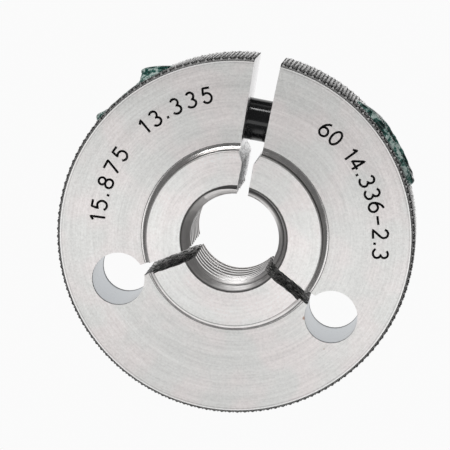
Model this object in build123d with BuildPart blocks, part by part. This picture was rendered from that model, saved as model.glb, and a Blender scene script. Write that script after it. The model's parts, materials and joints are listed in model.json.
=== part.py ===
from build123d import *
from math import cos, pi, sin
import os

# Adjustable thread ring gauge for a 5/8 in screw with 11 threads per inch, in millimetres.
# The gauging bore runs along +Z and the ring lies on its lower hub face, at Z = 0.
# The adjusting slot opens towards +Y, and the locking device lies along X, across that slot.

# Ring blank
rim_diameter = 53.975  # over the knurl
rim_thickness = 14.288
rim_chamfer = 0.6
hub_diameter = 26.4
hub_thickness = 19.05
hub_root_radius = 0.9  # fillet where each hub rises from the face
hub_root_bands = 4  # conical bands that the fillet is turned in, so that it has few faces

# Diamond knurl on the rim, coarser than the real one of 144 diamonds by 7 rows, so that it has few faces
knurl_diamonds = 60  # round the rim
knurl_rows = 3
knurl_depth = 0.33
knurl_allowance = 1.0  # left on the turned blank, outside the knurl

# Gauging bore, with its wall at the crests of the internal thread
bore_diameter = 13.335
thread_root_diameter = 15.875
bore_mouth_clearance = 0.125  # of the 45 degree countersink, over the thread's root

# Adjusting slot: wide and tapered in the rim, then a V down to a saw cut into the bore
slot_mouth_width = 3.95
slot_throat_width = 3.4
slot_throat_inset = 0.2  # from the hub's edge in to the throat
slot_vee_depth = 1.5
slot_cut_width = 1.75

# Relief holes, and the blind saw cuts that reach them from the bore
relief_hole_diameter = 7.94
relief_hole_radius = 18.75
relief_cut_width = 1.7
relief_directions = (121, -119)  # degrees from the adjusting slot

# Locking device, on an axis beside the hub at half the ring's thickness
device_clearance = 3.1  # from the hub's root fillet to the device's axis
sleeve_diameter = 6.35
sleeve_chamfer = 0.3
sleeve_fit = 0.02  # over the sleeve's diameter, in its reamed seat

adjusting_screw_diameter = 7.94
adjusting_screw_length = 8.6
adjusting_screw_recess = 1.3  # from the shallow side of the hole's mouth to the screw
adjusting_screw_chamfer = 0.4
adjusting_travel = 1.2  # room left for the screw to push the sleeve further in

locking_screw_diameter = 4.17
locking_screw_reach = 6.8  # length of shank inside the adjusting screw
locking_screw_clearance = 0.33  # over the shank's diameter, in the sleeve and the shoulder
locking_screw_recess = 3.1  # from the shallow side of the hole's mouth to the screw's head
locking_shoulder = 2.8  # wall between the sleeve's seat and the screw's head
locking_head_diameter = 7.2
locking_head_height = 3.6
locking_head_chamfer = 0.5
locking_tip_chamfer = 0.5
locking_head_clearance = 0.8  # over the head's diameter, in its counterbore

screw_thread_fit = 0.06  # over the diameter, between screw and tapped hole
driver_slot_width = 1.2
driver_slot_depth = 1.6

# Sealing wax: a plug in each screw hole, and a lip spread round its mouth on the rim
seal_lip_spread = 1.2  # out over the rim, from the edge of the hole
seal_lip_overhang = 0.8  # in over the plug, from the edge of the hole
seal_lip_height = 0.7
seal_dish = 0.8  # how far the middle of the plug's face lies below the rim

# Levels and places that follow
rim_radius = rim_diameter / 2
hub_radius = hub_diameter / 2
rim_top = rim_thickness / 2
hub_top = hub_thickness / 2
mid_height = hub_thickness / 2
knurl_top = rim_top - rim_chamfer + knurl_depth
bore_mouth_diameter = thread_root_diameter + bore_mouth_clearance
bore_mouth_depth = (bore_mouth_diameter - bore_diameter) / 2
slot_throat_radius = hub_radius - slot_throat_inset

device_offset = hub_radius + hub_root_radius + device_clearance
adjusting_hole_diameter = adjusting_screw_diameter + screw_thread_fit
adjusting_screw_bore = locking_screw_diameter + screw_thread_fit
locking_screw_hole = locking_screw_diameter + locking_screw_clearance
counterbore_diameter = locking_head_diameter + locking_head_clearance


def shallow_side(hole_diameter):
    """X at which the side of a screw hole furthest from the bore comes out of the rim."""
    return (rim_radius**2 - (device_offset + hole_diameter / 2) ** 2) ** 0.5


adjusting_screw_end = shallow_side(adjusting_hole_diameter) - adjusting_screw_recess
sleeve_end = adjusting_screw_end - adjusting_screw_length
adjusting_hole_bottom = sleeve_end - adjusting_travel
locking_screw_tip = sleeve_end + locking_screw_reach
locking_head_top = locking_screw_recess - shallow_side(counterbore_diameter)
locking_head_seat = locking_head_top + locking_head_height
sleeve_start = locking_head_seat + locking_shoulder

device_axis = Axis((0, device_offset, mid_height), (1, 0, 0))
device_section = Plane(origin=(0, device_offset, mid_height), x_dir=(1, 0, 0), z_dir=(0, -1, 0))
blank_section = Plane(origin=(0, 0, mid_height), x_dir=(1, 0, 0), z_dir=(0, -1, 0))


def across_device(position):
    """Plane square to the locking device's axis, facing +X, at the given X."""
    return Plane(origin=(position, device_offset, mid_height), z_dir=(1, 0, 0))


def hub_root_point(band):
    """Corner of the blank's outline where a band of the hub's root fillet starts, down from the hub."""
    turn = pi / 2 * band / hub_root_bands
    return hub_radius + hub_root_radius * (1 - cos(turn)), rim_top + hub_root_radius * (1 - sin(turn))


def ring_corner(column, radius, height):
    """Corner of the knurled drum, the same distance round the rim for a given column at any height."""
    angle = pi * column / knurl_diamonds
    return Vector(radius * cos(angle), radius * sin(angle), mid_height + height)


def knurl_corner(column, row):
    """Corner of the knurl: a diamond's peak where column and row add up to an even number."""
    peak = (column + row) % 2 == 0 and abs(row) < knurl_rows
    return ring_corner(column, rim_radius - (0 if peak else knurl_depth), knurl_top * row / knurl_rows)


def knurled_drum():
    """Drum with the knurl and the rim's chamfers round it, and plain ends past the hubs."""
    columns = range(2 * knurl_diamonds)
    drum_top = hub_top + knurl_allowance
    drum_end_radius = rim_radius - rim_chamfer - (drum_top - rim_top)
    outlines = []
    for column in columns:
        for row in range(-knurl_rows, knurl_rows + 1):
            for step_column, step_row in ((1, 1), (-1, 1), (-1, -1), (1, -1)):
                if (column + row) % 2 == 0 and abs(row + step_row) <= knurl_rows:
                    outlines.append([
                        knurl_corner(column, row),
                        knurl_corner(column + step_column, row),
                        knurl_corner(column, row + step_row),
                    ])
        for side in (-1, 1):
            outlines.append([
                knurl_corner(column, side * knurl_rows),
                knurl_corner(column + 1, side * knurl_rows),
                ring_corner(column + 1, drum_end_radius, side * drum_top),
                ring_corner(column, drum_end_radius, side * drum_top),
            ])
    for side in (-1, 1):
        outlines.append([ring_corner(column, drum_end_radius, side * drum_top) for column in columns])
    return Solid(Shell([Face(Wire.make_polygon(outline)) for outline in outlines]))


drum = knurled_drum()

# Ring body: turned blank
with BuildPart() as ring_body:
    with BuildSketch(blank_section):
        with BuildLine():
            Polyline(
                (bore_diameter / 2, 0),
                (bore_diameter / 2, hub_top - bore_mouth_depth),
                (bore_mouth_diameter / 2, hub_top),
                (hub_radius, hub_top),
                *[hub_root_point(band) for band in range(hub_root_bands + 1)],
                (rim_radius + knurl_allowance, rim_top),
                (rim_radius + knurl_allowance, 0),
            )
            mirror(about=Plane.XZ)
        make_face()
    revolve(axis=Axis.Z)
    add(drum, mode=Mode.INTERSECT)

    # Adjusting slot, through the rim and the hub into the bore
    with BuildSketch(Plane.XY):
        with BuildLine():
            Polyline(
                (0, 0),
                (slot_cut_width / 2, 0),
                (slot_cut_width / 2, slot_throat_radius - slot_vee_depth),
                (slot_throat_width / 2, slot_throat_radius),
                (slot_mouth_width / 2, rim_radius),
                (slot_mouth_width / 2, rim_diameter),
                (0, rim_diameter),
            )
            mirror(about=Plane.YZ)
        make_face()
    extrude(amount=hub_thickness, mode=Mode.SUBTRACT)

    # Relief holes and their saw cuts
    with BuildSketch(Plane.XY):
        for direction in relief_directions:
            with PolarLocations(relief_hole_radius, 1, start_angle=90 + direction):
                Circle(relief_hole_diameter / 2)
            with PolarLocations(relief_hole_radius / 2, 1, start_angle=90 + direction):
                Rectangle(relief_hole_radius, relief_cut_width)
    extrude(amount=hub_thickness, mode=Mode.SUBTRACT)

    # Stepped hole for the locking device, from the locking half on the left to the adjusting half
    device_hole = (
        (-rim_radius, locking_head_seat, counterbore_diameter),
        (locking_head_seat, sleeve_start, locking_screw_hole),
        (sleeve_start, adjusting_hole_bottom, sleeve_diameter + sleeve_fit),
        (adjusting_hole_bottom, rim_radius, adjusting_hole_diameter),
    )
    for step_start, step_end, step_diameter in device_hole:
        with BuildSketch(across_device(step_start)):
            Circle(step_diameter / 2)
        extrude(amount=step_end - step_start, mode=Mode.SUBTRACT)

# Sleeve: plain bush that crosses the slot and keeps the two halves in line
with BuildPart() as sleeve:
    with BuildSketch(across_device(sleeve_start)):
        Circle(sleeve_diameter / 2)
        Circle(locking_screw_hole / 2, mode=Mode.SUBTRACT)
    extrude(amount=sleeve_end - sleeve_start)
    chamfer(sleeve.edges().filter_by(GeomType.CIRCLE).group_by(SortBy.RADIUS)[-1], sleeve_chamfer)

# Adjusting screw: hollow, slotted at its outer end, with its inner end on the sleeve
with BuildPart() as adjusting_screw:
    with BuildSketch(across_device(sleeve_end)):
        Circle(adjusting_screw_diameter / 2)
        Circle(adjusting_screw_bore / 2, mode=Mode.SUBTRACT)
    extrude(amount=adjusting_screw_length)
    outer_edges = adjusting_screw.edges().filter_by(GeomType.CIRCLE).group_by(SortBy.RADIUS)[-1]
    chamfer(outer_edges, adjusting_screw_chamfer)
    with BuildSketch(across_device(adjusting_screw_end)):
        Rectangle(driver_slot_width, adjusting_screw_diameter)
    extrude(amount=-driver_slot_depth, mode=Mode.SUBTRACT)

# Locking screw: round head on the shoulder, shank through the sleeve into the adjusting screw
with BuildPart() as locking_screw:
    with BuildSketch(device_section):
        with BuildLine():
            head_radius = locking_head_diameter / 2
            shank_radius = locking_screw_diameter / 2
            Polyline(
                (locking_head_top, 0),
                (locking_head_top, head_radius - locking_head_chamfer),
                (locking_head_top + locking_head_chamfer, head_radius),
                (locking_head_seat, head_radius),
                (locking_head_seat, shank_radius),
                (locking_screw_tip - locking_tip_chamfer, shank_radius),
                (locking_screw_tip, shank_radius - locking_tip_chamfer),
                (locking_screw_tip, 0),
                close=True,
            )
        make_face()
    revolve(axis=device_axis)
    with BuildSketch(across_device(locking_head_top)):
        Rectangle(driver_slot_width, locking_head_diameter)
    extrude(amount=driver_slot_depth, mode=Mode.SUBTRACT)


def wax_seal(screw_face, hole_diameter):
    """Wax in a screw hole, from the screw's outer face, with a lip round its mouth on the rim."""
    reach = rim_radius if screw_face > 0 else -rim_radius
    with BuildPart() as drilled_rim:
        add(drum)
        with BuildSketch(across_device(screw_face)):
            Circle(hole_diameter / 2)
        extrude(amount=reach - screw_face, mode=Mode.SUBTRACT)
    with BuildPart() as dish:
        with BuildSketch(across_device(screw_face)):
            Circle(hole_diameter / 2 - seal_lip_overhang)
        extrude(amount=reach - screw_face)
        with BuildSketch(Plane.XY):
            Circle(rim_radius - seal_dish)
        extrude(amount=hub_thickness, mode=Mode.SUBTRACT)
    with BuildPart() as seal:
        with BuildSketch(across_device(screw_face)):
            Circle(hole_diameter / 2 + seal_lip_spread)
        extrude(amount=reach - screw_face)
        with BuildSketch(Plane.XY):
            Circle(rim_radius + seal_lip_height)
        extrude(amount=hub_thickness, mode=Mode.INTERSECT)
        add(drilled_rim.part, mode=Mode.SUBTRACT)
        add(dish.part, mode=Mode.SUBTRACT)
    return seal.part


adjusting_seal = wax_seal(adjusting_screw_end, adjusting_hole_diameter)
locking_seal = wax_seal(locking_head_top, counterbore_diameter)

# One STEP file for each piece
pieces = {
    "ring_body": ring_body.part,
    "sleeve": sleeve.part,
    "adjusting_screw": adjusting_screw.part,
    "locking_screw": locking_screw.part,
    "adjusting_seal": adjusting_seal,
    "locking_seal": locking_seal,
}
os.makedirs("parts", exist_ok=True)
for name, piece in pieces.items():
    piece.label = name
    export_step(piece, f"parts/{name}.step")
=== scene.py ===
import json
import math

import bmesh
import bpy
from mathutils import Matrix, Vector, noise

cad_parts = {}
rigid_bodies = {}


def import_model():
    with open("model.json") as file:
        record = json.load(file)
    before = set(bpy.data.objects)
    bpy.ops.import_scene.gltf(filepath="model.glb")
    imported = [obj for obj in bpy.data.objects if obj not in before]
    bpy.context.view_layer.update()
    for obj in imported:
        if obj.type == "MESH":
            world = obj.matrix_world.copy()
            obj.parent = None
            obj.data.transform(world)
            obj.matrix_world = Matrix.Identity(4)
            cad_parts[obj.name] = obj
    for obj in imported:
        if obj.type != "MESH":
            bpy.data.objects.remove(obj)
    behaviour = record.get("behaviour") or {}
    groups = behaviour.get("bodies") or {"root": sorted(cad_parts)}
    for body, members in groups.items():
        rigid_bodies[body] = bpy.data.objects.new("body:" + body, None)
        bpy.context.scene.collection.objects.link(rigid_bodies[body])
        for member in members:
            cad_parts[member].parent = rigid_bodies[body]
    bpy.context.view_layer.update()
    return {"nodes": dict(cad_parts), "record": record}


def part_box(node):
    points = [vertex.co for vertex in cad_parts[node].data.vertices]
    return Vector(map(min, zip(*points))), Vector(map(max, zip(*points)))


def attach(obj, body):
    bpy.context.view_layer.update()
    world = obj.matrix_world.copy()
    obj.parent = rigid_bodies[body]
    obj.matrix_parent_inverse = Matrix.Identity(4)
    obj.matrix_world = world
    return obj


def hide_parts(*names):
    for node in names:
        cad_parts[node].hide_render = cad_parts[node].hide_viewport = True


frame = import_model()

# pieces are made in millimetres, and brought to metres when they are finished
mm = 0.001
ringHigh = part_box("ring_body")[1]
rimRadius = ringHigh.x / mm
hubTop = ringHigh.z / mm
middle = hubTop / 2
mounts = {mount["name"]: mount for mount in frame["record"]["mounts"]}
boreRadius = mounts["gauging_thread"]["dims"]["r_mm"]


class Wire:
    # one output socket: a sum written on wires adds its Math nodes
    def __init__(self, board, socket):
        self.board = board
        self.socket = socket

    def math(self, operation, *others):
        return self.board.maths(operation, self, *others)

    def rise(self, low, high):
        # from 0 at the low value to 1 at the high one, smoothly
        return self.board.add("ShaderNodeMapRange", {"interpolation_type": "SMOOTHSTEP"}, {
            "Value": self, "From Min": low, "From Max": high})

    def near(self, centre, reach):
        # 1 at the centre's value, falling to 0 as far from it as the reach
        return 1 - (self - centre).math("ABSOLUTE").rise(0, reach)

    def also(self, name):
        return Wire(self.board, self.board.pick(self.socket.node.outputs, name))

    def __add__(self, other):
        return self.board.maths("ADD", self, other)

    def __radd__(self, other):
        return self.board.maths("ADD", other, self)

    def __sub__(self, other):
        return self.board.maths("SUBTRACT", self, other)

    def __rsub__(self, other):
        return self.board.maths("SUBTRACT", other, self)

    def __mul__(self, other):
        return self.board.maths("MULTIPLY", self, other)

    def __truediv__(self, other):
        return self.board.maths("DIVIDE", self, other)

    def __pow__(self, other):
        return self.board.maths("POWER", self, other)

    def __gt__(self, other):
        return self.board.maths("GREATER_THAN", self, other)

    def __lt__(self, other):
        return self.board.maths("LESS_THAN", self, other)


class Board:
    # a node tree that is written as Python
    def __init__(self, tree):
        self.tree = tree

    @staticmethod
    def pick(sockets, key):
        if isinstance(key, int):
            return sockets[key]
        named = [s for s in sockets if s.name == key]
        return next((s for s in named if s.enabled and not s.is_unavailable), named[0])

    def add(self, kind, settings=None, sockets=None, out=0):
        # the settings come first, because they decide which sockets there are
        node = self.tree.nodes.new(kind)
        for name, value in (settings or {}).items():
            if name == "captures":
                for capture, domain in value.items():
                    node.capture_items.new("FLOAT", capture)
                    node.domain = domain
            else:
                setattr(node, name, value)
        for name, value in (sockets or {}).items():
            target = self.pick(node.inputs, name)
            if isinstance(value, Wire):
                self.tree.links.new(value.socket, target)
            else:
                target.default_value = value
        return Wire(self, self.pick(node.outputs, out)) if len(node.outputs) else node

    def maths(self, operation, *values):
        return self.add("ShaderNodeMath", {"operation": operation}, dict(enumerate(values)))

    def vector(self, x, y, z):
        return self.add("ShaderNodeCombineXYZ", {}, {"X": x, "Y": y, "Z": z})

    def split(self, vector):
        parts = self.add("ShaderNodeSeparateXYZ", {}, {"Vector": vector})
        return parts, parts.also("Y"), parts.also("Z")

    def stretch(self, vector, by):
        return self.add("ShaderNodeVectorMath", {"operation": "MULTIPLY"}, {0: vector, 1: by})

    def blend(self, share, first, second):
        first, second = [(*tone, 1) if isinstance(tone, tuple) else tone for tone in (first, second)]
        return self.add("ShaderNodeMix", {"data_type": "RGBA"}, {
            "Factor": share, "A": first, "B": second}, out="Result")

    def scale(self, vector, by):
        # a longer vector, or a lighter colour
        return self.add("ShaderNodeVectorMath", {"operation": "SCALE"}, {0: vector, "Scale": by})

    def spot(self):
        # the place on the piece, in millimetres
        return self.scale(self.add("ShaderNodeTexCoord", out="Object"), 1 / mm)

    def grain(self, vector, size, detail=3.0, roughness=0.55):
        # noise about 0.5, with features that many millimetres across
        return self.add("ShaderNodeTexNoise", {"noise_dimensions": "3D"}, {
            "Vector": vector, "Scale": 1 / size, "Detail": detail, "Roughness": roughness})

    def bump(self, height, depth):
        # a relief that many millimetres deep
        return self.add("ShaderNodeBump", {}, {"Distance": depth * mm, "Height": height}, out="Normal")


def newShapeTree(name, inputs):
    # a Geometry Nodes tree with named inputs of each kind; gives its board, the inputs' wires
    # and a way to close it
    tree = bpy.data.node_groups.new(name, "GeometryNodeTree")
    board = Board(tree)
    for kind, labels in inputs.items():
        for label in labels:
            tree.interface.new_socket(name=label, in_out="INPUT", socket_type="NodeSocket" + kind)
    tree.interface.new_socket(name="Shape", in_out="OUTPUT", socket_type="NodeSocketGeometry")
    first = board.add("NodeGroupInput")
    given = {label: first.also(label) for labels in inputs.values() for label in labels}

    def close(shape, finishes):
        # each finish with the selection that it goes on, or with none for the whole shape
        shape = board.add("GeometryNodeRealizeInstances", {}, {"Geometry": shape})
        for finish, where in finishes.items():
            sockets = {"Geometry": shape, "Material": given[finish]}
            if where:
                sockets["Selection"] = where
            shape = board.add("GeometryNodeSetMaterial", {}, sockets)
        board.add("NodeGroupOutput", {}, {"Shape": shape})
        return tree

    return board, given, close


def heldOutline(board, mesh):
    # an outline as a curve, with the radius and height of each of its points
    curve = board.add("GeometryNodeMeshToCurve", {}, {"Mesh": mesh})
    place = board.split(board.add("GeometryNodeInputPosition"))
    held = board.add("GeometryNodeCaptureAttribute", {"captures": {"reach": "POINT", "height": "POINT"}}, {
        "Geometry": curve, "reach": place[0], "height": place[2]}, out="Geometry")
    return held, held.also("reach"), held.also("height")


def shapeWith(piece, tree, values):
    modifier = piece.modifiers.new(tree.name, "NODES")
    modifier.node_group = tree
    for item in tree.interface.items_tree:
        if item.in_out == "INPUT" and item.name in values:
            modifier[item.identifier] = values[item.name]


def newPiece(name, mesh, collection=None):
    piece = bpy.data.objects.new(name, mesh)
    (collection or bpy.context.scene.collection).objects.link(piece)
    return piece


def ringEdges(count, first=0):
    return [(first + n, first + (n + 1) % count) for n in range(count)]


def lineMesh(name, points, edges):
    # edges only, for a tree that turns, sweeps or tubes them
    mesh = bpy.data.meshes.new(name)
    mesh.from_pydata(points, edges, [])
    return mesh


def bandFaces(rows, count, first=0):
    # the quads between rows of points that each run once round, numbered from the first point
    return [[here, following, following + count, here + count]
            for row in range(rows) for here, following in ringEdges(count, first + row * count)]


def endFaces(rows, count):
    # the two faces that close such a band
    return [list(range(count - 1, -1, -1)), list(range(rows * count, rows * count + count))]


def faceOutward(mesh):
    bm = bmesh.new()
    bm.from_mesh(mesh)
    bmesh.ops.recalc_face_normals(bm, faces=bm.faces)
    bm.to_mesh(mesh)
    bm.free()


def solidPiece(name, vertices, faces, finishes, collection=None):
    mesh = bpy.data.meshes.new(name)
    mesh.from_pydata(vertices, [], faces)
    for material in finishes:
        mesh.materials.append(material)
    faceOutward(mesh)
    return newPiece(name, mesh, collection)


def settle(piece):
    # the evaluated shape becomes the piece's own plain mesh, and its modifiers go
    bpy.context.view_layer.update()
    evaluated = piece.evaluated_get(bpy.context.evaluated_depsgraph_get())
    mesh = bpy.data.meshes.new_from_object(evaluated)
    mesh.name = piece.name
    piece.modifiers.clear()
    piece.data = mesh


def finish(piece, sharpAngle=32):
    mesh = piece.data
    mesh.transform(Matrix.Scale(mm, 4))
    mesh.polygons.foreach_set("use_smooth", [True] * len(mesh.polygons))
    mesh.set_sharp_from_angle(angle=math.radians(sharpAngle))
    mesh.update()
    print(f"{piece.name}: {len(mesh.polygons)} faces")
    return piece


def onCircle(radius, degrees):
    angle = math.radians(degrees)
    return Vector((radius * math.cos(angle), radius * math.sin(angle)))


# sizes of the ring's turned and knurled blank
blank = {
    "rimThickness": 14.288,
    "rimChamfer": 0.6,
    "hubRadius": 13.2,
    "hubEdge": 0.12,  # the broken edge of each hub
    "rootFillet": 0.9,
    "filletSteps": 8,
    "filletBorder": 0.05,  # a narrow flat either side of the fillet, to keep the faces flat in shading
    "threadRootRadius": 7.9375,
    "mouthClearance": 0.0625,
    "knurlDiamonds": 144,
    "knurlRows": 7,  # whole diamonds across the rim
    "knurlDepth": 0.33,
    "knurlFlat": 0.86,  # where the top of each diamond is cut off
    "knurlFold": 0.3,  # how near a groove's foot a cell is still folded along it
}
rimHalf = blank["rimThickness"] / 2
quarterRow = rimHalf / (2 * blank["knurlRows"])


def newFinish(name):
    material = bpy.data.materials.new(name)
    material.use_nodes = True
    material.node_tree.nodes.clear()
    return material, Board(material.node_tree)


def closeFinish(material, board, sockets):
    shader = board.add("ShaderNodeBsdfPrincipled", {}, sockets)
    board.add("ShaderNodeOutputMaterial", {}, {"Surface": shader})
    print(material.name, "made")
    return material


turning = {
    "warm": (0.85, 0.81, 0.80),
    "cool": (0.80, 0.80, 0.785),
    "tintSize": 5.0,
    "tintSpan": (0.35, 0.65),  # of the noise, from the warm tint to the cool one
    "linePitch": 0.42,  # of the faint lines that the tool left
    "broadPitch": 2.1,
    "arcShare": 0.7,  # how quickly the lines change round the ring
    "grainSize": 0.3,
    "tone": 0.36,
    "lineTone": 0.62,
    "grainTone": 0.50,
    "broadTone": 0.16,
    "hubLift": 0.10,  # the hub's face is paler than the rim's
    "hubLiftSpan": (0.8, 1.6),  # height over the rim's face
    "roughness": 0.34,
    "lineRoughness": 0.12,
    "paintedHighlightRings": ((26.32, 0.3), (21.7, 0.05)),  # bright rings painted on the face, radius and strength: a painted highlight along its outer edge, and a faint bright ring at 21.7 mm
    # painted shade rings, radius and strength: dark lines along the face's edges at the rim's chamfer, the
    # hub's edge and the bore's mouth
    "paintedShadeRings": ((26.1, 0.25), (13.06, 0.6), (8.04, 1.0)),
    "lineWidth": 0.12,
    "relief": 0.008,
    "rust": (0.30, 0.12, 0.05),
    "stains": (
        # x, y, size and strength
        (12.46, -10.03, 0.34, 0.8),
        (14.51, -11.16, 0.2, 0.5),
        (18.39, -10.69, 0.16, 0.4),
        (16.29, -14.06, 0.16, 0.4),
    ),
    "stainCore": 0.3,  # share of a stain's size at full strength
}


def turnedSteel():
    material, board = newFinish("turnedSteel")
    spot = board.spot()
    x, y, z = board.split(spot)
    radius = (x * x + y * y) ** 0.5
    turned = board.vector(radius, x / radius * turning["arcShare"], y / radius * turning["arcShare"])
    lines = board.grain(turned, turning["linePitch"], detail=4, roughness=0.7)
    broad = board.grain(turned, turning["broadPitch"], detail=2)
    fine = board.grain(spot, turning["grainSize"], detail=2, roughness=0.7)
    tints = board.grain(spot, turning["tintSize"], detail=1)
    low, high = turning["hubLiftSpan"]
    onHub = (z - middle).math("ABSOLUTE").rise(rimHalf + low, rimHalf + high)
    tone = turning["tone"] + lines * turning["lineTone"] + fine * turning["grainTone"]
    tone = tone + broad * turning["broadTone"] + onHub * turning["hubLift"]
    # painted highlight and painted shade rings along the face's edges
    for reach, strength in turning["paintedHighlightRings"]:
        tone = tone + radius.near(reach, turning["lineWidth"]) * strength
    for reach, strength in turning["paintedShadeRings"]:
        tone = tone - radius.near(reach, turning["lineWidth"]) * strength
    colour = board.blend(tints.rise(*turning["tintSpan"]), turning["warm"], turning["cool"])
    colour = board.scale(colour, tone)
    for stainX, stainY, size, strength in turning["stains"]:
        offX, offY = x - stainX, y - stainY
        away = (offX * offX + offY * offY) ** 0.5 + (fine - 0.5) * size
        share = (1 - away.rise(size * turning["stainCore"], size)) * strength
        colour = board.blend(share, colour, turning["rust"])
    return closeFinish(material, board, {
        "Base Color": colour, "Metallic": 1.0,
        "Roughness": turning["roughness"] + (lines - 0.5) * turning["lineRoughness"],
        "Anisotropic": 0.4, "Anisotropic Rotation": 0.25,
        "Normal": board.bump(lines * 0.6 + fine * 0.4, turning["relief"])})


burnishing = {
    "colour": (0.86, 0.84, 0.83), "linePitch": 0.3, "patchSize": 1.4, "tone": 0.62,
    "lineTone": 0.4, "patchTone": 0.35, "patchRoughness": 0.2,
    "shadedEdgeDark": 0.95,  # how much darker and rougher a painted shade line along an edge is
    "shadedEdgeRoughness": 0.4, "relief": 0.014,
    # edges: the radius and width of each painted shade line along an edge
    "step": {"roughness": 0.19, "edges": ((13.2, 0.14), (14.12, 0.1))},
    "mouth": {"roughness": 0.30, "edges": ((8.0, 0.42),)},
}


def burnishedSteel(name, kind):
    # the step round each hub and the mouth of the bore
    material, board = newFinish(name)
    spot = board.spot()
    x, y, z = board.split(spot)
    radius = (x * x + y * y) ** 0.5
    lines = board.grain(board.vector(radius, z, 0), burnishing["linePitch"], detail=4)
    patches = board.grain(spot, burnishing["patchSize"], detail=2)
    tone = burnishing["tone"] + lines * burnishing["lineTone"] + patches * burnishing["patchTone"]
    # painted shade: dark lines along the edges of the step and of the bore's mouth, also rougher and not
    # metallic
    shadedEdge = 0.0
    for reach, width in kind["edges"]:
        shadedEdge = radius.near(reach, width) + shadedEdge
    return closeFinish(material, board, {
        "Base Color": board.scale(burnishing["colour"], tone * (1 - shadedEdge * burnishing["shadedEdgeDark"])),
        "Metallic": 1 - shadedEdge,
        "Roughness": (kind["roughness"] + (patches - 0.4) * burnishing["patchRoughness"]
                      + shadedEdge * burnishing["shadedEdgeRoughness"]),
        "Normal": board.bump(lines * 0.8 + patches * 0.2, burnishing["relief"])})


knurling = {
    "bright": (0.99, 0.98, 0.97),
    "grooveShadeColour": (0.006, 0.006, 0.006),  # painted shade in the grooves
    "grooveShadeSize": 0.45,
    "grooveShadeSpan": (0.3, 0.6),  # of the groove's depth
    "roughness": 0.17, "grooveShadeRoughness": 0.5,
    "edge": 0.4,  # of the painted shade line where the chamfer meets the face
    "grainSize": 0.12, "relief": 0.01,
}


def knurledSteel():
    material, board = newFinish("knurledSteel")
    spot = board.spot()
    x, y, z = board.split(spot)
    radius = (x * x + y * y) ** 0.5
    level = (z - middle).math("ABSOLUTE")
    crest = rimRadius - (level - rimHalf + blank["rimChamfer"]).math("MAXIMUM", 0)
    sunk = (crest - radius) / blank["knurlDepth"]
    # painted shade: darker deeper in the grooves, unevenly, and in a line along the chamfer's inner edge
    grooveShade = board.grain(spot, knurling["grooveShadeSize"])
    edge = level.near(rimHalf, knurling["edge"])
    paintedShade = (sunk + grooveShade - 0.5).rise(*knurling["grooveShadeSpan"]).math("MAXIMUM", edge)
    return closeFinish(material, board, {
        "Base Color": board.blend(paintedShade, knurling["bright"], knurling["grooveShadeColour"]),
        "Metallic": 1 - paintedShade,
        "Roughness": knurling["roughness"] + paintedShade * knurling["grooveShadeRoughness"],
        "Normal": board.bump(board.grain(spot, knurling["grainSize"], detail=2), knurling["relief"])})


threading = {
    "colour": (0.84, 0.82, 0.81), "tone": 0.8, "lineTone": 0.4, "roughness": 0.3,
    "grainSize": 0.4,
    "grooveShadeSpan": (0.2, 0.8),  # depth in the groove
    "grooveShadeUneven": 0.3, "grooveShadeDark": 0.9, "grooveShadeRoughness": 0.5, "relief": 0.006,
}


def threadedSteel():
    material, board = newFinish("threadedSteel")
    x, y, z = board.split(board.spot())
    radius = (x * x + y * y) ** 0.5
    lines = board.grain(board.vector(radius, z, 0), threading["grainSize"])
    # painted shade, darker deeper in the thread's grooves
    depth = radius - boreRadius + (lines - 0.5) * threading["grooveShadeUneven"]
    grooveShade = depth.rise(*threading["grooveShadeSpan"])
    tone = (threading["tone"] + lines * threading["lineTone"]) * (1 - grooveShade * threading["grooveShadeDark"])
    return closeFinish(material, board, {
        "Base Color": board.scale(threading["colour"], tone),
        "Metallic": 1 - grooveShade, "Roughness": threading["roughness"] + grooveShade * threading["grooveShadeRoughness"],
        "Normal": board.bump(lines, threading["relief"])})


milling = {
    "colour": (0.88, 0.87, 0.87), "tone": 0.75, "feedTone": 0.5, "roughness": 0.26,
    "feedRoughness": 0.12, "feed": 0.5, "feedStretch": (0.6, 2.0, 0.35), "relief": 0.02,
}


def milledSteel():
    material, board = newFinish("milledSteel")
    feed = board.grain(board.stretch(board.spot(), milling["feedStretch"]), milling["feed"])
    return closeFinish(material, board, {
        "Base Color": board.scale(milling["colour"], milling["tone"] + feed * milling["feedTone"]),
        "Metallic": 1.0, "Roughness": milling["roughness"] + feed * milling["feedRoughness"],
        "Normal": board.bump(feed, milling["relief"])})


sawing = {
    # span: of the noise, from torn and dark to whole and bright
    "cuts": {"bright": (0.80, 0.79, 0.78), "dark": (0.006, 0.006, 0.006), "span": (0.455, 0.56)},
    "slot": {"bright": (0.97, 0.97, 0.97), "dark": (0.05, 0.05, 0.05), "span": (0.36, 0.46)},
    "patchSize": 0.7, "gritSize": 0.2, "gritShare": 0.55, "crack": 0.028,
    "roughness": 0.36, "gritRoughness": 0.3, "tornRoughness": 0.5, "relief": 0.07,
}


def sawnSteel(name, kind):
    # torn and mottled by a coarse blade
    material, board = newFinish(name)
    spot = board.spot()
    patch = board.grain(spot, sawing["patchSize"])
    grit = board.grain(spot, sawing["gritSize"], detail=2)
    torn = patch * (1 - sawing["gritShare"]) + grit * sawing["gritShare"]
    cracks = (patch - 0.5).math("ABSOLUTE").rise(0, sawing["crack"])
    whole = torn.rise(*kind["span"]) * cracks
    return closeFinish(material, board, {
        "Base Color": board.blend(whole, kind["dark"], kind["bright"]), "Metallic": whole,
        "Roughness": (sawing["roughness"] + (grit - 0.5) * sawing["gritRoughness"]
                      + (1 - whole) * sawing["tornRoughness"]),
        "Normal": board.bump(torn, sawing["relief"])})


drilling = {
    "colour": (0.43, 0.455, 0.48), "tone": 0.72, "ringTone": 0.56, "roughness": 0.3,
    "ringRoughness": 0.15, "ringPitch": 0.4, "ringStretch": (0.15, 0.15, 1.0),
    "edge": 0.9,  # of the painted shade line at the upper end of a hole
    "backShadeLine": 1.3, "shadeLineDark": 0.9, "shadeLineRoughness": 0.6, "relief": 0.006,
}


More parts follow.
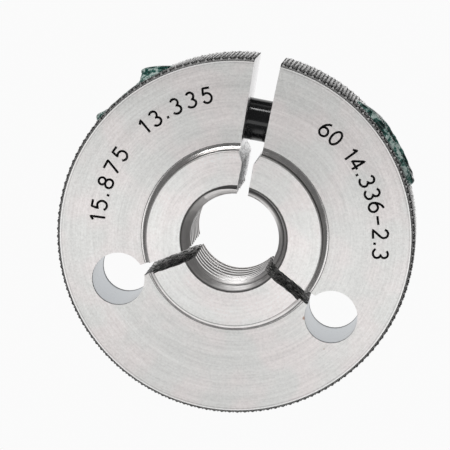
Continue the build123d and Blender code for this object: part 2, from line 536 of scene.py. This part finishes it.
def drilledSteel():
    material, board = newFinish("drilledSteel")
    spot = board.spot()
    height = board.split(spot)[2] - middle
    rings = board.grain(board.stretch(spot, drilling["ringStretch"]), drilling["ringPitch"])
    # painted shade lines at the upper and the lower end of each hole
    front = (height - rimHalf).near(0, drilling["edge"])
    back = (height + rimHalf).near(0, drilling["backShadeLine"])
    edge = front.math("MAXIMUM", back)
    tone = (drilling["tone"] + rings * drilling["ringTone"]) * (1 - edge * drilling["shadeLineDark"])
    return closeFinish(material, board, {
        "Base Color": board.scale(drilling["colour"], tone), "Metallic": 1 - edge,
        "Roughness": (drilling["roughness"] + (rings - 0.5) * drilling["ringRoughness"]
                      + edge * drilling["shadeLineRoughness"]),
        "Normal": board.bump(rings, drilling["relief"])})


# what the engraved strokes are filled with
filling = {
    "dark": (0.004, 0.004, 0.004), "pale": (0.016, 0.016, 0.017), "speckSize": 0.2,
    "roughness": 0.85, "shine": 0.1,
}


def blackFill():
    material, board = newFinish("blackFill")
    speck = board.grain(board.spot(), filling["speckSize"], detail=2)
    return closeFinish(material, board, {
        "Base Color": board.blend(speck, filling["dark"], filling["pale"]),
        "Roughness": filling["roughness"], "Specular IOR Level": filling["shine"]})


blackening = {
    "dark": (0.006, 0.006, 0.007), "pale": (0.024, 0.024, 0.026), "ringPitch": 0.25,
    "ringStretch": (1.0, 0.1, 0.1), "roughness": 0.08, "ringRoughness": 0.1,
    "relief": 0.003,
}


def blackSleeve():
    material, board = newFinish("blackenedSteel")
    rings = board.grain(board.stretch(board.spot(), blackening["ringStretch"]), blackening["ringPitch"])
    return closeFinish(material, board, {
        "Base Color": board.blend(rings, blackening["dark"], blackening["pale"]),
        "Roughness": blackening["roughness"] + rings * blackening["ringRoughness"],
        "Normal": board.bump(rings, blackening["relief"])})


# the two screws
oxide = {
    "dark": (0.05, 0.05, 0.055), "worn": (0.30, 0.29, 0.28), "wearSize": 0.8,
    "wearSpan": (0.45, 0.7), "roughness": 0.45, "wearPolish": 0.15, "relief": 0.01,
}


def oxideSteel():
    material, board = newFinish("oxideSteel")
    wear = board.grain(board.spot(), oxide["wearSize"], detail=4)
    return closeFinish(material, board, {
        "Base Color": board.blend(wear.rise(*oxide["wearSpan"]), oxide["dark"], oxide["worn"]),
        "Metallic": 1.0, "Roughness": oxide["roughness"] - wear * oxide["wearPolish"],
        "Normal": board.bump(wear, oxide["relief"])})


waxing = {
    "deep": (0.003, 0.028, 0.023), "green": (0.04, 0.22, 0.18),
    "pale": (0.74, 0.90, 0.85),  # of the pale patches on the folds: partly wax bloom, partly a painted highlight
    "greenSpan": (0.40, 0.54),  # of the noise, from the deep tone to the green
    "bloomAndHighlightSpan": (0.50, 0.575), "patchSize": 1.6, "creaseSize": 0.5, "roughness": 0.16,
    "bloomAndHighlightRoughness": 0.3,
    "bloomAndHighlightCoat": 0.5,  # how much of the gloss the pale patches of bloom and painted highlight hide
    "relief": 0.06,
}


def greenWax():
    material, board = newFinish("greenWax")
    spot = board.spot()
    patch = board.grain(spot, waxing["patchSize"], detail=2)
    crease = board.grain(spot, waxing["creaseSize"])
    lit = (patch * 0.6 + crease * 0.4).rise(*waxing["greenSpan"])
    # pale patches on the folds: partly wax bloom, partly a painted highlight
    bloomAndHighlight = (crease * 0.5 + patch * 0.5).rise(*waxing["bloomAndHighlightSpan"])
    colour = board.blend(lit, waxing["deep"], waxing["green"])
    return closeFinish(material, board, {
        "Base Color": board.blend(bloomAndHighlight, colour, waxing["pale"]),
        "Coat Weight": 1.0 - bloomAndHighlight * waxing["bloomAndHighlightCoat"], "Coat Roughness": 0.05,
        "Roughness": waxing["roughness"] + bloomAndHighlight * waxing["bloomAndHighlightRoughness"],
        "Normal": board.bump(crease, waxing["relief"])})


faceFinish = turnedSteel()
knurlFinish = knurledSteel()
threadFinish = threadedSteel()
stepFinish = burnishedSteel("burnishedStepSteel", burnishing["step"])
mouthFinish = burnishedSteel("burnishedMouthSteel", burnishing["mouth"])
slotFinish = milledSteel()
holeFinish = drilledSteel()
veeFinish = sawnSteel("sawnSlotSteel", sawing["slot"])
sawnFinish = sawnSteel("sawnCutSteel", sawing["cuts"])
fillFinish = blackFill()
sleeveFinish = blackSleeve()
screwFinish = oxideSteel()
waxFinish = greenWax()


def blankOutline():
    # (radius, height above the middle) from the bore over the hub to the rim's middle, then mirrored
    hub, fillet, border = blank["hubRadius"], blank["rootFillet"], blank["filletBorder"]
    mouth = blank["threadRootRadius"] + blank["mouthClearance"]
    half = [
        (boreRadius, middle - (mouth - boreRadius)),
        (mouth, middle),
        (hub - blank["hubEdge"], middle),
        (hub, middle - blank["hubEdge"]),
        (hub, rimHalf + fillet + border),
    ]
    for step in range(blank["filletSteps"] + 1):
        turn = math.radians(90 * step / blank["filletSteps"])
        half.append((hub + fillet * (1 - math.cos(turn)), rimHalf + fillet * (1 - math.sin(turn))))
    half += [(hub + fillet + border, rimHalf), (rimRadius - blank["rimChamfer"], rimHalf)]
    half += [(rimRadius, quarterRow * row) for row in range(2 * blank["knurlRows"] - 1, 0, -1)]
    mirrored = [(reach, -height) for reach, height in reversed(half)]
    return [(reach, 0, middle + height) for reach, height in half + [(rimRadius, 0)] + mirrored]


def turnedBlankTree():
    board, given, close = newShapeTree("turned and knurled blank", {
        "Geometry": ("Outline",),
        "Int": ("Segments", "Diamonds"),
        "Float": ("Row Pitch", "Knurl Depth", "Knurl Flat", "Fold", "Rim Radius", "Rim Half", "Chamfer",
                  "Middle", "Hub Radius", "Hub Top", "Step Width"),
        "Material": ("Face Finish", "Step Finish", "Mouth Finish", "Knurl Finish"),
    })
    circle = board.add("GeometryNodeCurvePrimitiveCircle", {"mode": "RADIUS"}, {
        "Resolution": given["Segments"], "Radius": 1.0}, out="Curve")
    index = board.add("GeometryNodeInputIndex")
    path = board.add("GeometryNodeCaptureAttribute", {"captures": {"turn": "POINT"}}, {
        "Geometry": circle, "turn": index}, out="Geometry")
    turn = path.also("turn")
    held, reach, height = heldOutline(board, given["Outline"])
    turned = board.add("GeometryNodeCurveToMesh", {}, {"Curve": path, "Profile Curve": held})

    # two crossing sets of grooves leave the diamonds; the chamfer cuts them off at the rim's edges
    across = turn * given["Diamonds"] / given["Segments"]
    along = (height - given["Middle"]) / given["Row Pitch"]
    rising = ((across + along) * 2).math("PINGPONG", 1)
    falling = ((across - along) * 2).math("PINGPONG", 1)
    crest = rising.math("MINIMUM", falling).math("MINIMUM", given["Knurl Flat"]) / given["Knurl Flat"]
    pressed = given["Rim Radius"] - given["Knurl Depth"] * (1 - crest)
    level = (height - given["Middle"]).math("ABSOLUTE")
    bevel = given["Rim Radius"] - (level - given["Rim Half"] + given["Chamfer"]).math("MAXIMUM", 0)
    onRim = reach > given["Rim Radius"] - given["Chamfer"] * 0.99
    radius = reach + onRim * (pressed.math("MINIMUM", bevel) - reach)
    angle = math.pi / 2 + turn * (2 * math.pi) / given["Segments"]
    position = board.vector(radius * angle.math("COSINE"), radius * angle.math("SINE"), height)
    placed = board.add("GeometryNodeSetPosition", {}, {"Geometry": turned, "Position": position})

    # the cells that a groove crosses are folded along it
    folded = board.add("GeometryNodeTriangulate", {"quad_method": "FIXED"}, {
        "Mesh": placed, "Selection": onRim * (rising < given["Fold"])})
    folded = board.add("GeometryNodeTriangulate", {"quad_method": "FIXED_ALTERNATE"}, {
        "Mesh": folded, "Selection": onRim * (falling < given["Fold"])})
    stepMiddle = given["Hub Radius"] + given["Step Width"] / 2
    # a little over half its width, so that it takes in the flats either side of the fillet
    onStep = (reach - stepMiddle).math("ABSOLUTE") < given["Step Width"] * 0.56
    onMouth = (reach < given["Hub Radius"] * 0.6) * (level < given["Hub Top"] - 0.01)
    return close(folded, {
        "Face Finish": None, "Knurl Finish": onRim > 0.5, "Step Finish": onStep > 0.5,
        "Mouth Finish": onMouth > 0.5})


outline = blankOutline()
ringBody = newPiece("ringBody", lineMesh("ringOutline", outline, ringEdges(len(outline))))
shapeWith(ringBody, turnedBlankTree(), {
    "Segments": 4 * blank["knurlDiamonds"], "Diamonds": blank["knurlDiamonds"],
    "Row Pitch": 4 * quarterRow, "Knurl Depth": blank["knurlDepth"], "Knurl Flat": blank["knurlFlat"],
    "Fold": blank["knurlFold"], "Rim Radius": rimRadius, "Rim Half": rimHalf,
    "Chamfer": blank["rimChamfer"], "Middle": middle, "Hub Radius": blank["hubRadius"],
    "Hub Top": middle, "Step Width": blank["rootFillet"], "Face Finish": faceFinish,
    "Step Finish": stepFinish, "Mouth Finish": mouthFinish, "Knurl Finish": knurlFinish,
})
print("blank turned")

cutters = bpy.data.collections.new("cutters")
bpy.context.scene.collection.children.link(cutters)
past = 1.0  # how far a cutter runs past the face that it opens


thread = {
    "pitch": 2.3091,
    "flankAngle": 60,
    "rootShare": 0.06,  # the flat at the groove's root, as a share of the pitch
    "inside": 0.3,  # how far the cutter reaches inside the crests
    "steps": 120,  # segments of one turn
    "start": -2.6,
    "turns": 11,
}


def threadOutline():
    # section of the groove between two threads: radius, and height from the groove's middle
    pitch = thread["pitch"]
    depth = blank["threadRootRadius"] - boreRadius + thread["inside"]
    rootHalf = pitch * thread["rootShare"] / 2
    openHalf = rootHalf + depth * math.tan(math.radians(thread["flankAngle"] / 2))
    inner, outer = blank["threadRootRadius"] - depth, blank["threadRootRadius"]
    return [(inner, 0, -openHalf), (outer, 0, -rootHalf), (outer, 0, rootHalf), (inner, 0, openHalf)]


def threadCutterTree():
    board, given, close = newShapeTree("screw thread", {
        "Geometry": ("Outline",), "Int": ("Steps", "Turns"), "Float": ("Pitch", "Start"),
        "Material": ("Finish",)})
    count = given["Steps"] * given["Turns"] + 1
    line = board.add("GeometryNodeMeshLine", {}, {"Count": count, "Offset": (0, 0, 1)})
    path = board.add("GeometryNodeMeshToCurve", {}, {"Mesh": line})
    index = board.add("GeometryNodeInputIndex")
    path = board.add("GeometryNodeCaptureAttribute", {"captures": {"turn": "POINT"}}, {
        "Geometry": path, "turn": index / given["Steps"]}, out="Geometry")
    held, reach, height = heldOutline(board, given["Outline"])
    swept = board.add("GeometryNodeCurveToMesh", {}, {
        "Curve": path, "Profile Curve": held, "Fill Caps": True})
    turn = path.also("turn")
    angle = turn * (2 * math.pi)
    level = height + given["Start"] + given["Pitch"] * turn
    position = board.vector(reach * angle.math("COSINE"), reach * angle.math("SINE"), level)
    placed = board.add("GeometryNodeSetPosition", {}, {"Geometry": swept, "Position": position})
    return close(placed, {"Finish": None})


# the thread
outline = threadOutline()
threadCutter = newPiece(
    "threadCutter", lineMesh("threadOutline", outline, ringEdges(len(outline))), cutters)
shapeWith(threadCutter, threadCutterTree(), {
    "Steps": thread["steps"], "Turns": thread["turns"], "Pitch": thread["pitch"], "Start": thread["start"],
    "Finish": threadFinish,
})
settle(threadCutter)
faceOutward(threadCutter.data)

sawn = {
    "step": 0.36,  # between the points of a torn wall
    "coarse": 0.9,  # how quickly the two sizes of tear change, and how much each pushes
    "coarseShare": 0.7,
    "fine": 2.6,
    "fineShare": 0.5,
    "rough": 0.16,  # how deep the tears go
    "seed": 5,
}
noise.seed_set(sawn["seed"])  # without it the walls tear differently in each run


def roughWall(name, outline, finishes, seed):
    # a closed prism whose outline gives, for each point, (x, y, how rough, which finish from here on)
    ring, kinds = [], []
    for (x, y, rough, kind), following in zip(outline, outline[1:] + outline[:1]):
        nextX, nextY, nextRough = following[:3]
        span = math.hypot(nextX - x, nextY - y)
        parts = max(1, round(span / sawn["step"])) if rough or nextRough else 1
        for share in (part / parts for part in range(parts)):
            ring.append((x + (nextX - x) * share, y + (nextY - y) * share,
                         rough + (nextRough - rough) * share))
            kinds.append(kind)
    tall = hubTop + 2 * past
    rows = round(tall / sawn["step"])
    vertices = []
    for row in range(rows + 1):
        height = tall * row / rows - past
        for x, y, rough in ring:
            spot = Vector((x, y, height))
            push = noise.noise_vector(spot * sawn["coarse"] + seed) * sawn["coarseShare"]
            push += noise.noise_vector(spot * sawn["fine"] + seed) * sawn["fineShare"]
            vertices.append((x + push.x * rough, y + push.y * rough, height))
    faces = bandFaces(rows, len(ring)) + endFaces(rows, len(ring))
    wall = solidPiece(name, vertices, faces, finishes, cutters)
    wall.data.polygons.foreach_set("material_index", kinds * rows + [0, 0])


def turnedRows(stations, segments, place):
    # round steps along an axis; stations are (distance along the axis, radius)
    turns = [2 * math.pi * n / segments for n in range(segments)]
    return [place(along, radius * math.cos(turn), radius * math.sin(turn))
            for along, radius in stations for turn in turns]


def turnedCutter(name, stations, segments, place):
    steps = len(stations) - 1
    faces = bandFaces(steps, segments) + endFaces(steps, segments)
    solidPiece(name, turnedRows(stations, segments, place), faces, [holeFinish], cutters)


# the adjusting slot, the relief holes and their saw cuts
slots = {
    "mouthHalf": 1.975,
    "throatHalf": 1.7,
    "throatInset": 0.2,
    "veeDepth": 1.5,
    "cutHalf": 0.875,
    "cutStart": 3.0,  # distance from the bore's axis, inside the bore
    "reliefHoleRadius": 3.97,
    "reliefPlace": 18.75,
    "reliefCutHalf": 0.85,
    "reliefCutInset": 1.0,  # the saw cut ends short of the relief hole's axis
    "reliefTurns": (121, -119),  # degrees from the slot
    "reliefSegments": 96,
}


def adjustingSlot():
    throat = blank["hubRadius"] - slots["throatInset"]
    vee, rough = throat - slots["veeDepth"], sawn["rough"]
    right = [
        (slots["cutHalf"], slots["cutStart"], 0, 1),
        (slots["cutHalf"], boreRadius, rough, 1),
        (slots["cutHalf"], vee, rough, 1),
        (slots["throatHalf"], throat, 0, 0),
        (slots["mouthHalf"], rimRadius, 0, 0),
        (slots["mouthHalf"], rimRadius + past, 0, 0),
    ]
    kinds = (0, 0, 1, 1, 1, 0)
    left = [(-point[0], *point[1:3], kind) for point, kind in zip(reversed(right), kinds)]
    return right + left


roughWall("adjustingSlot", adjustingSlot(), [slotFinish, veeFinish], Vector((3, 5, 7)))
for side, turn in enumerate(slots["reliefTurns"]):
    centre = onCircle(slots["reliefPlace"], 90 + turn)
    turnedCutter(
        f"reliefHole{side}",
        [(-past, slots["reliefHoleRadius"]), (hubTop + past, slots["reliefHoleRadius"])],
        slots["reliefSegments"],
        lambda along, across, up, spot=centre: (spot.x + across, spot.y + up, along))
    out, beside = onCircle(1, 90 + turn), onCircle(slots["reliefCutHalf"], 180 + turn)
    near, far = slots["cutStart"], slots["reliefPlace"] - slots["reliefCutInset"]
    corners = [out * reach + beside * hand for reach, hand in ((near, -1), (far, -1), (far, 1), (near, 1))]
    roughWall(f"reliefCut{side}", [(spot.x, spot.y, sawn["rough"], 0) for spot in corners],
              [sawnFinish], Vector((11 + side, 2, 9)))

# the stepped hole for the locking device: the radius of each step, and where the next one starts
device = {
    "offset": 17.2,
    "counterbore": 4.0,
    "headSeat": -10.0,
    "screwHole": 2.25,
    "sleeveStart": -7.2,
    "sleeveSeat": 3.185,
    "adjustingHoleBottom": 5.6,
    "adjustingHole": 4.0,
    "segments": 96,
}


def acrossDevice(along, across, up):
    return (along, device["offset"] + across, middle + up)


def deviceStations():
    ends = [-rimRadius - past, device["headSeat"], device["sleeveStart"], device["adjustingHoleBottom"],
            rimRadius + past]
    steps = ("counterbore", "screwHole", "sleeveSeat", "adjustingHole")
    return [(end, device[step]) for step, span in zip(steps, zip(ends, ends[1:])) for end in span]


turnedCutter("deviceHole", deviceStations(), device["segments"], acrossDevice)

# the engraved sizes, in single strokes
lettering = {
    "height": 2.25,
    "strokeRadius": 0.185,
    "strokeRise": 0.02,  # of the stroke's centre above the face
    "strokeSides": 8,
    "strokeStep": 0.06,  # between the points of a straight stroke, as a share of the height
    "gap": 0.28,  # between characters, as a share of their height
    "joined": 1e-6,  # a stroke whose two ends are nearer than this is a closed loop
    "lines": (
        # text, first and last direction in degrees, and the radius of its foot at each
        ("15.875  13.335", 185.0, 109.5, 19.65, 20.5),
        ("60 14.336-2.3", 62.7, 2.6, 20.0, 20.8),
    ),
    "bowStep": 20,  # degrees, at most
}


def bow(x, y, wide, tall, start, end):
    # an arc of an ellipse about (x, y), between two directions
    steps = max(4, round(abs(end - start) / lettering["bowStep"]))
    turns = [math.radians(start + (end - start) * n / steps) for n in range(steps + 1)]
    return [(x + wide * math.cos(turn), y + tall * math.sin(turn)) for turn in turns]


# each character: its width, then its strokes; a stroke that meets an earlier one is cut in a second pass
characters = {
    "0": (0.6, [bow(0.3, 0.5, 0.3, 0.5, 90, 450)]),
    "1": (0.4, [[(0.1, 0.8), (0.32, 1), (0.32, 0)]]),
    "2": (0.6, [bow(0.3, 0.71, 0.28, 0.29, 165, -40) + [(0.02, 0), (0.6, 0)]]),
    "3": (0.6, [bow(0.29, 0.75, 0.25, 0.25, 150, -80) + bow(0.28, 0.27, 0.31, 0.27, 75, -155)]),
    "4": (0.62, [[(0.45, 0), (0.45, 1), (0, 0.3)], [(-0.05, 0.3), (0.64, 0.3)]]),
    "5": (0.6, [[(0.55, 1), (0.1, 1), (0.05, 0.56)] + bow(0.28, 0.33, 0.31, 0.33, 130, -150)]),
    "6": (0.6, [bow(0.3, 0.3, 0.3, 0.3, 0, 360), bow(0.64, 0.3, 0.64, 0.7, 180, 105)]),
    "7": (0.6, [[(0, 1), (0.6, 1), (0.2, 0)]]),
    "8": (0.6, [bow(0.3, 0.765, 0.24, 0.235, -90, 270), bow(0.3, 0.265, 0.3, 0.265, 90, 450)]),
    ".": (0.12, [[(0.06, 0.18), (0.06, 0.0)]]),
    "-": (0.6, [[(0, 0.42), (0.6, 0.42)]]),
    " ": (0.3, []),
}


def divided(stroke):
    # more points along the straight runs, so that a stroke keeps its width up to its corners
    points = [stroke[0]]
    for start, end in zip(stroke, stroke[1:]):
        count = max(1, round(math.dist(start, end) / lettering["strokeStep"]))
        points += [(start[0] + (end[0] - start[0]) * n / count, start[1] + (end[1] - start[1]) * n / count)
                   for n in range(1, count + 1)]
    return points


def strokeTree():
    board, given, close = newShapeTree("engraved strokes", {
        "Geometry": ("Strokes",), "Float": ("Radius",), "Int": ("Sides",), "Material": ("Finish",)})
    paths = board.add("GeometryNodeMeshToCurve", {}, {"Mesh": given["Strokes"]})
    tip = board.add("GeometryNodeCurvePrimitiveCircle", {"mode": "RADIUS"}, {
        "Resolution": given["Sides"], "Radius": given["Radius"]}, out="Curve")
    tubes = board.add("GeometryNodeCurveToMesh", {}, {
        "Curve": paths, "Profile Curve": tip, "Fill Caps": True})
    return close(tubes, {"Finish": None})


def letteringStrokes():
    # two passes of strokes, each a run of points on the upper rim face
    passes = [[], []]
    height, face = lettering["height"], middle + rimHalf + lettering["strokeRise"]
    for text, start, end, startReach, endReach in lettering["lines"]:
        whole = sum(characters[letter][0] + lettering["gap"] for letter in text) - lettering["gap"]
        gone = 0
        for letter in text:
            width, strokes = characters[letter]
            share = (gone + width / 2) / whole
            out = onCircle(1, start + (end - start) * share)
            foot = startReach + (endReach - startReach) * share
            for n, stroke in enumerate(strokes):
                points = [(foot + y * height, x - width / 2) for x, y in divided(stroke)]
                passes[n].append([(out.x * up + out.y * along * height, out.y * up - out.x * along * height,
                                   face) for up, along in points])
            gone += width + lettering["gap"]
    return passes


engravingTree = strokeTree()
for number, strokes in enumerate(letteringStrokes()):
    vertices, edges = [], []
    for stroke in strokes:
        first = len(vertices)
        if math.dist(stroke[0], stroke[-1]) < lettering["joined"]:
            stroke = stroke[:-1]
            edges += ringEdges(len(stroke), first)
        else:
            edges += ringEdges(len(stroke), first)[:-1]
        vertices += stroke
    engraver = newPiece(f"engraver{number}", lineMesh(f"strokes{number}", vertices, edges), cutters)
    shapeWith(engraver, engravingTree, {
        "Radius": lettering["strokeRadius"], "Sides": lettering["strokeSides"], "Finish": fillFinish})
    settle(engraver)
    faceOutward(engraver.data)
print("cutters made")

cut = ringBody.modifiers.new("cut", "BOOLEAN")
cut.operation = "DIFFERENCE"
cut.solver = "EXACT"
cut.operand_type = "COLLECTION"
cut.collection = cutters
cut.material_mode = "TRANSFER"
settle(ringBody)
for cutter in list(cutters.objects):
    bpy.data.objects.remove(cutter)
bpy.data.collections.remove(cutters)
print("ring cut")
finish(ringBody)

sleeveLow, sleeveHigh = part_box("sleeve")
sleeve = {
    "from": sleeveLow.x / mm,
    "to": sleeveHigh.x / mm,
    "radius": (sleeveHigh.z - sleeveLow.z) / 2 / mm,
    "chamfer": 0.3,
    "soften": 0.04,  # the broken corner either side of each chamfer
    "segments": 128,
}


def sleeveOutline():
    # a closed outline of (distance along the device's axis, radius)
    radius, chamfer, soft = sleeve["radius"], sleeve["chamfer"], sleeve["soften"]
    half = [
        (device["screwHole"], 0),
        (radius - chamfer - soft, 0),
        (radius - chamfer + soft, soft),
        (radius - soft, chamfer - soft),
        (radius, chamfer + soft),
        (radius, chamfer + 4 * soft),
    ]
    return ([(sleeve["from"] + inset, reach) for reach, inset in half]
            + [(sleeve["to"] - inset, reach) for reach, inset in reversed(half)])


def hollowSleeve():
    outline, segments = sleeveOutline(), sleeve["segments"]
    vertices = turnedRows(outline, segments, acrossDevice)
    faces = [[corner % len(vertices) for corner in face] for face in bandFaces(len(outline), segments)]
    return finish(solidPiece("plainSleeve", vertices, faces, [sleeveFinish]))


plainSleeve = hollowSleeve()

seals = {
    "columns": 128,
    "topRows": 34,
    "buried": 0.42,  # how far the wax reaches under the rim's surface, into the knurl
    "tuck": 0.12,  # how far its edge draws in there
    "fit": 0.02,
    "lipInset": 0.8,  # the lip starts inside the hole's edge
    "dip": 0.05,  # of the wax at the lip's inner edge, under the rim's surface
    "dish": 0.75,  # how much lower its middle lies
    "wander": 0.45,  # how unevenly it spreads, and how quickly that changes round the hole
    "wanderTurn": 1.7,
    "fold": 0.25,  # height of the broad folds, and how quickly they change
    "foldTurn": 0.9,
    "crease": 0.22,  # height of the sharp creases, and how quickly they change
    "creaseTurn": 1.9,
    "lipLean": 0.85,  # under 1, the lip's crest stands nearer the hole
    "lipFullness": 0.8,
    "creep": 0.1,  # how much lower the folds lie on the lip
}
adjustingWax = {
    "side": 1,
    "hole": device["adjustingHole"],
    "plugFace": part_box("adjusting_screw")[1].x / mm,
    "seed": 2.0,
    "spread": {"upper": 1.7, "lower": 1.3, "front": 0.35},
    "height": {"upper": 0.75, "lower": 0.85, "front": 0.6},
    "narrow": 1.6,
}
lockingWax = {
    "side": -1,
    "hole": device["counterbore"],
    "plugFace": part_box("locking_screw")[0].x / mm,
    "seed": 9.0,
    "spread": {"upper": 1.3, "lower": 0.9, "front": 0.25},
    "height": {"upper": 1.5, "lower": 0.75, "front": 0.05},
    "narrow": 6.0,
}


def roundSeal(values, turn, narrow):
    # a value for the direction round the hole, between those at the top, the bottom and the two sides
    lean = math.cos(turn)
    end = values["upper"] if lean > 0 else values["lower"]
    return values["front"] + (end - values["front"]) * abs(lean) ** narrow


def waxSurface(seal, share, turn):
    # the place from the hole's middle (0) to the wax's edge (1), and its height over the rim
    out = onCircle(1, math.degrees(turn))
    uneven = noise.noise(Vector((*(out * seals["wanderTurn"]), seal["seed"])))
    spread = roundSeal(seal["spread"], turn, seal["narrow"]) * (1 + seals["wander"] * uneven)
    inner, outer = seal["hole"] - seals["lipInset"], seal["hole"] + spread
    place = share * outer
    spot = Vector((*(out * place), seal["seed"]))
    crumple = noise.noise(spot * seals["foldTurn"]) * seals["fold"]
    crumple += (0.5 - abs(noise.noise(spot * seals["creaseTurn"]))) * seals["crease"]
    if place < inner:
        return place, crumple - seals["dip"] - seals["dish"] * (1 - (place / inner) ** 3)
    gone = min(1, (place - inner) / (outer - inner))
    lip = max(0, math.sin(math.pi * gone ** seals["lipLean"])) ** seals["lipFullness"]
    height = roundSeal(seal["height"], turn, seal["narrow"]) * lip
    return place, height + (crumple - seals["creep"]) * (1 - gone)


def waxSeal(name, seal):
    columns, rows = seals["columns"], seals["topRows"]
    turns = [2 * math.pi * n / columns for n in range(columns)]

    def onRim(place, turn, height):
        y = device["offset"] + place * math.cos(turn)
        x = seal["side"] * math.sqrt((rimRadius + height) ** 2 - y * y)
        return (x, y, middle + place * math.sin(turn))

    def atPlug(spot):
        return (seal["plugFace"], *spot[1:])

    # over the top from its middle, then under the lip and down the hole's wall to the screw
    wall = seal["hole"] - seals["fit"]
    top = [(turn, *waxSurface(seal, row / rows, turn)) for row in range(1, rows + 1) for turn in turns]
    edges = [onRim(waxSurface(seal, 1, turn)[0] - seals["tuck"], turn, -seals["buried"]) for turn in turns]
    vertices = [onRim(0, 0, waxSurface(seal, 0, 0)[1])]
    vertices += [onRim(place, turn, height) for turn, place, height in top]
    vertices += edges
    vertices += [onRim(wall, turn, -seals["buried"]) for turn in turns]
    vertices += [atPlug(onRim(wall, turn, 0)) for turn in turns]
    vertices.append((seal["plugFace"], device["offset"], middle))
    bands = rows + 2
    last = 1 + bands * columns
    faces = [(0, *edge) for edge in ringEdges(columns, 1)]
    faces += bandFaces(bands, columns, 1)
    faces += [(last + columns, following, here) for here, following in ringEdges(columns, last)]
    return finish(solidPiece(name, vertices, faces, [waxFinish]), sharpAngle=60)


adjustingSeal = waxSeal("adjustingSeal", adjustingWax)
lockingSeal = waxSeal("lockingSeal", lockingWax)

for node in ("adjusting_screw", "locking_screw"):
    frame["nodes"][node].data.materials[0] = screwFinish

studio = {
    "floorSize": 4.0,
    "floorTone": 0.96,  # as the camera sees it
    "glowTone": 1.0,  # as the steel sees it, under the ring
    "glowFrom": 0.028,  # distance from the bore's axis where that glow starts to fall
    "glowTo": 0.034,
    "shadeTone": 0.03,  # of the dark belt round that glow
    "shadeTo": 0.055,  # where the belt starts to fade
    "farAt": 0.10,  # and where it has faded into the floor beyond
    "farTone": 0.55,
    "floorDrop": 1e-5,  # the floor lies that far under the ring
    "roomTone": 0.14,
    "southTone": 0.85,  # of the bright wall towards -Y
    "southSpan": (0.45, 0.75),  # how far towards -Y a direction points, from dark to bright
    "southTop": (0.5, 0.8),  # how far up, from bright to dark
    "northTone": 0.35,  # of a bright upright strip on the other side
    "northTurn": 118,  # degrees from +X
    "northSpan": (0.955, 0.985),
    "cameraPlace": (21.72, 62.52, 437.30),
    "cameraTurn": (-7.491, 4.702, 11.199),  # degrees about X, then Y, then Z of the room
    "cameraLens": 227.7,
    "cameraSensor": 36.0,
    "cameraClip": 0.01,
}
lamps = {
    # place, aim and size in metres, power in watts
    "overhead": {"place": (-0.03, -0.12, 0.6), "aim": (-0.03, -0.12, 0), "size": (0.8, 0.2), "power": 0.59},
    "strip": {"place": (-0.16, 0.43, 0.24), "aim": (0, 0.017, 0.01), "size": (0.3, 0.07), "power": 0.75},
}


def makeFloor():
    # pale for the camera, but what the steel mirrors of it is bright near the ring alone
    half, level = studio["floorSize"] / 2, -studio["floorDrop"]
    corners = [(-half, -half, level), (half, -half, level), (half, half, level), (-half, half, level)]
    mesh = bpy.data.meshes.new("floor")
    mesh.from_pydata(corners, [], [(0, 1, 2, 3)])
    floor = newPiece("floor", mesh)
    material, board = newFinish("paleFloor")
    x, y = board.split(board.add("ShaderNodeTexCoord", out="Object"))[:2]
    away = (x * x + y * y) ** 0.5
    fall = studio["glowTone"] - studio["shadeTone"]
    lift = studio["farTone"] - studio["shadeTone"]
    glow = studio["glowTone"] - away.rise(studio["glowFrom"], studio["glowTo"]) * fall
    glow = glow + away.rise(studio["shadeTo"], studio["farAt"]) * lift
    seen = board.add("ShaderNodeLightPath", out="Is Camera Ray")
    light = board.add("ShaderNodeEmission", {}, {"Strength": glow + seen * (studio["floorTone"] - glow)})
    board.add("ShaderNodeOutputMaterial", {}, {"Surface": light})
    mesh.materials.append(material)


def makeRoom():
    # dark all round, so that the steel's edges stand out
    world = bpy.data.worlds.new("room")
    bpy.context.scene.world = world
    world.use_nodes = True
    world.node_tree.nodes.clear()
    board = Board(world.node_tree)
    seen = board.add("ShaderNodeLightPath", out="Is Camera Ray")
    x, y, z = board.split(board.add("ShaderNodeTexCoord", out="Generated"))
    south = (0 - y).rise(*studio["southSpan"]) * (1 - z.rise(*studio["southTop"]))
    aim = onCircle(1, studio["northTurn"])
    north = (x * aim.x + y * aim.y).rise(*studio["northSpan"])
    lit = studio["roomTone"] + south * studio["southTone"] + north * studio["northTone"]
    tone = lit + seen * (studio["floorTone"] - lit)
    light = board.add("ShaderNodeBackground", {}, {"Color": (1, 1, 1, 1), "Strength": tone})
    board.add("ShaderNodeOutputWorld", {}, {"Surface": light})


def makeCamera():
    data = bpy.data.cameras.new("camera")
    data.sensor_width = studio["cameraSensor"]
    data.lens = studio["cameraLens"]
    data.clip_start = studio["cameraClip"]
    camera = newPiece("camera", data)
    camera.location = Vector(studio["cameraPlace"]) * mm
    camera.rotation_mode = "YXZ"
    camera.rotation_euler = [math.radians(turn) for turn in studio["cameraTurn"]]
    bpy.context.scene.camera = camera


def softLight(name, lamp):
    data = bpy.data.lights.new(name, "AREA")
    data.shape = "RECTANGLE"
    data.size, data.size_y = lamp["size"]
    data.energy = lamp["power"]
    light = newPiece(name, data)
    light.location = lamp["place"]
    light.rotation_mode = "QUATERNION"
    light.rotation_quaternion = (Vector(lamp["aim"]) - Vector(lamp["place"])).to_track_quat("-Z", "Y")


makeFloor()
makeRoom()
makeCamera()
for name, lamp in lamps.items():
    softLight(name, lamp)
bpy.context.scene.view_settings.view_transform = "Standard"
print("studio made")

for piece, node, slot in (
    (ringBody, "ring_body", "ring_steel"),
    (plainSleeve, "sleeve", "black_sleeve"),
    (adjustingSeal, "adjusting_seal", "green_wax"),
    (lockingSeal, "locking_seal", "green_wax"),
):
    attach(piece, "root")
    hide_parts(node)
